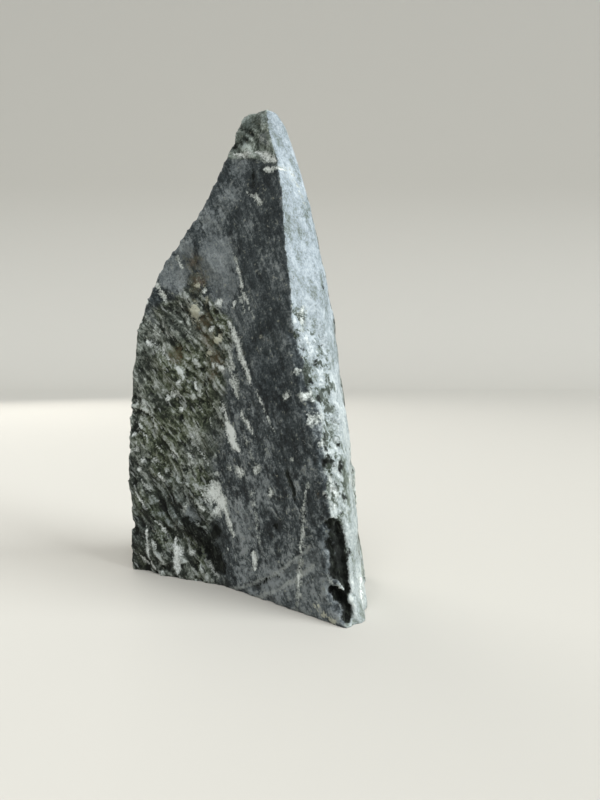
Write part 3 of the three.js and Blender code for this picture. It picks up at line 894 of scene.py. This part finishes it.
def stone_material():
    material = bpy.data.materials.new("soapstone_schist")
    nodes = Nodes(material)
    rock = rock_textures(nodes)

    broken = nodes.mix(nodes.mask("knob"), schist_colour(nodes, rock), knob_colour(nodes, rock))
    sawn_tone = sawn_rock_tone(nodes, rock)
    colour = nodes.mix(nodes.mask("sawn"), broken, sawn_colour(nodes, rock, sawn_tone))
    colour = with_patches(nodes, rock, colour, sawn_tone)
    colour = with_stains(nodes, rock, colour)
    colour = with_side(nodes, rock, colour)
    colour = with_talc(nodes, rock, colour)
    dark_share, dark_colour = dark_rock(nodes, rock)
    colour = nodes.mix(dark_share, colour, dark_colour)

    roughness = nodes.ramp(rock.grit, 0.3, 0.7, to_low=0.36, to_high=0.62)
    roughness = nodes.math("MULTIPLY_ADD", dark_share, 0.35, roughness)
    height = nodes.tone(0.5, (rock.speckle, 0.8), (rock.large, 0.35), (rock.small, 0.4), (rock.grit, 0.6))
    inputs = {"Height": height, "Strength": BUMP_STRENGTH, "Distance": BUMP_DEPTH * MM}
    bump = nodes.make("ShaderNodeBump", inputs).outputs[0]
    inputs = {"Base Color": colour, "Roughness": roughness, "Normal": bump,
              "Specular IOR Level": SPECULAR_LEVEL}
    shader = nodes.make("ShaderNodeBsdfPrincipled", inputs)
    nodes.make("ShaderNodeOutputMaterial", {"Surface": shader.outputs[0]})
    return material


surface.data.materials.append(stone_material())
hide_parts(NODE)
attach(surface, "root")

# ---------------------------------------------------------------- the studio, in metres

FLOOR_FRONT = -5.0
FLOOR_HALF_WIDTH = 10.0
BACKDROP_DISTANCE = 2.2
BACKDROP_HEIGHT = 10.0
BACKDROP_BEND = 1.2
BEND_STEPS = 24
PAPER = (0.53, 0.51, 0.46)
PAPER_ROUGHNESS = 0.85
VIEW_YAW = math.radians(34.07)  # how far to the right of the front the photo was taken from

DAYLIGHT = (0.93, 0.97, 1.0)
SKYLIGHT = (0.97, 0.985, 1.0)
WARM_LIGHT = (1.0, 0.98, 0.95)
AIR_COLOUR = (0.96, 0.98, 1.0)
AIR_STRENGTH = 0.32
KEY_SOFTNESS = math.radians(42)

# The camera, measured in millimetres from the middle of the stone's box floor.
CAMERA_PLACE = (161.6, -211.1, 92.7)
CAMERA_PITCH = math.radians(-3.04)
CAMERA_LENS = 27
CAMERA_SENSOR = 36
CAMERA_NEAREST = 0.01  # metres


def paper_material():
    material = bpy.data.materials.new("studio_paper")
    nodes = Nodes(material)
    inputs = {"Base Color": (*PAPER, 1), "Roughness": PAPER_ROUGHNESS}
    shader = nodes.make("ShaderNodeBsdfPrincipled", inputs)
    nodes.make("ShaderNodeOutputMaterial", {"Surface": shader.outputs[0]})
    return material


def make_studio():
    """A pale floor that curves up into a backdrop behind the stone, as the camera sees it."""
    profile = [(FLOOR_FRONT, 0.0)]
    for step in range(BEND_STEPS + 1):
        angle = math.radians(90 * step / BEND_STEPS)
        profile.append((BACKDROP_DISTANCE + BACKDROP_BEND * math.sin(angle),
                        BACKDROP_BEND * (1 - math.cos(angle))))
    profile.append((BACKDROP_DISTANCE + BACKDROP_BEND, BACKDROP_HEIGHT))
    vertices = []
    for across in (-FLOOR_HALF_WIDTH, FLOOR_HALF_WIDTH):
        vertices += [(across, depth, up) for depth, up in profile]
    count = len(profile)
    faces = [(i, i + count, i + count + 1, i + 1) for i in range(count - 1)]
    mesh = bpy.data.meshes.new("studio_floor")
    mesh.from_pydata(vertices, [], faces)
    mesh.polygons.foreach_set("use_smooth", [True] * len(faces))
    floor = bpy.data.objects.new("studio_floor", mesh)
    floor.rotation_euler = (0, 0, VIEW_YAW)
    floor.data.materials.append(paper_material())
    bpy.context.scene.collection.objects.link(floor)


def add_light(kind, name, place, power, colour, **settings):
    """A light at a place, shining at the middle of the stone."""
    light = bpy.data.lights.new(name, kind)
    light.energy = power
    light.color = colour
    for setting, value in settings.items():
        setattr(light, setting, value)
    lamp = bpy.data.objects.new(name, light)
    lamp.location = place
    bpy.context.scene.collection.objects.link(lamp)
    direction = mathutils.Vector((0, 0, 0.5 * HEIGHT * MM)) - lamp.location
    lamp.rotation_euler = direction.to_track_quat("-Z", "Y").to_euler()


def make_lights():
    add_light("SUN", "window_right", place=(1.5, 0.375, 0.78), power=5.1, colour=DAYLIGHT,
              angle=KEY_SOFTNESS)
    add_light("AREA", "window_above", place=(0.25, -0.45, 1.3), power=9, colour=SKYLIGHT, size=0.7)
    add_light("AREA", "fill_left", place=(-1.2, 0.5, 0.8), power=8, colour=WARM_LIGHT, size=0.9)
    world = bpy.data.worlds.new("studio_air")
    world.use_nodes = True
    background = world.node_tree.nodes["Background"]
    background.inputs["Color"].default_value = (*AIR_COLOUR, 1)
    background.inputs["Strength"].default_value = AIR_STRENGTH
    bpy.context.scene.world = world


def make_camera():
    camera = bpy.data.cameras.new("camera")
    camera.lens = CAMERA_LENS
    camera.sensor_width = CAMERA_SENSOR
    camera.clip_start = CAMERA_NEAREST
    eye = bpy.data.objects.new("camera", camera)
    eye.location = [value * MM for value in CAMERA_PLACE]
    eye.rotation_euler = (math.radians(90) + CAMERA_PITCH, 0, VIEW_YAW)
    bpy.context.scene.collection.objects.link(eye)
    bpy.context.scene.camera = eye


make_studio()
make_lights()
make_camera()
bpy.context.scene.view_settings.view_transform = "Standard"
